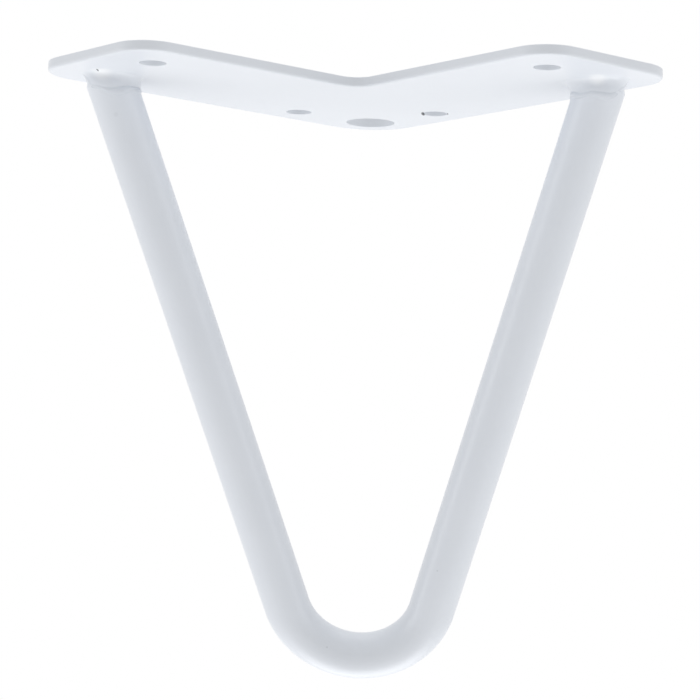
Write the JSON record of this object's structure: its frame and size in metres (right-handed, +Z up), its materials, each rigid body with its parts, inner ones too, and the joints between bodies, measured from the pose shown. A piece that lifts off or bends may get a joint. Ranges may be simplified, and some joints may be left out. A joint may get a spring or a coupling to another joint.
{
  "type": "hairpin table leg",
  "caption": "Short hairpin table leg: one bent round bar, leaning outward, welded under a flat two-armed corner plate with screw holes, all in white powder coat.",
  "frame": {"origin": "middle of the large corner hole, on the plate's top face, which is the face that meets the table", "axes": "+X across the two arms, from the left arm to the right one as seen from the notch between them; +Y from the notch towards the plate's outer corner; +Z up into the table, so the leg hangs towards -Z"},
  "size_m": [0.1492, 0.1091, 0.15],
  "materials": {
    "white_powder_coat": "smooth white powder coat with a soft gloss"
  },
  "bodies": {
    "root": {"mounting_plate": "white_powder_coat", "hairpin_rod": "white_powder_coat", "weld_bead_left": "white_powder_coat", "weld_bead_right": "white_powder_coat"}
  },
  "joints": []
}
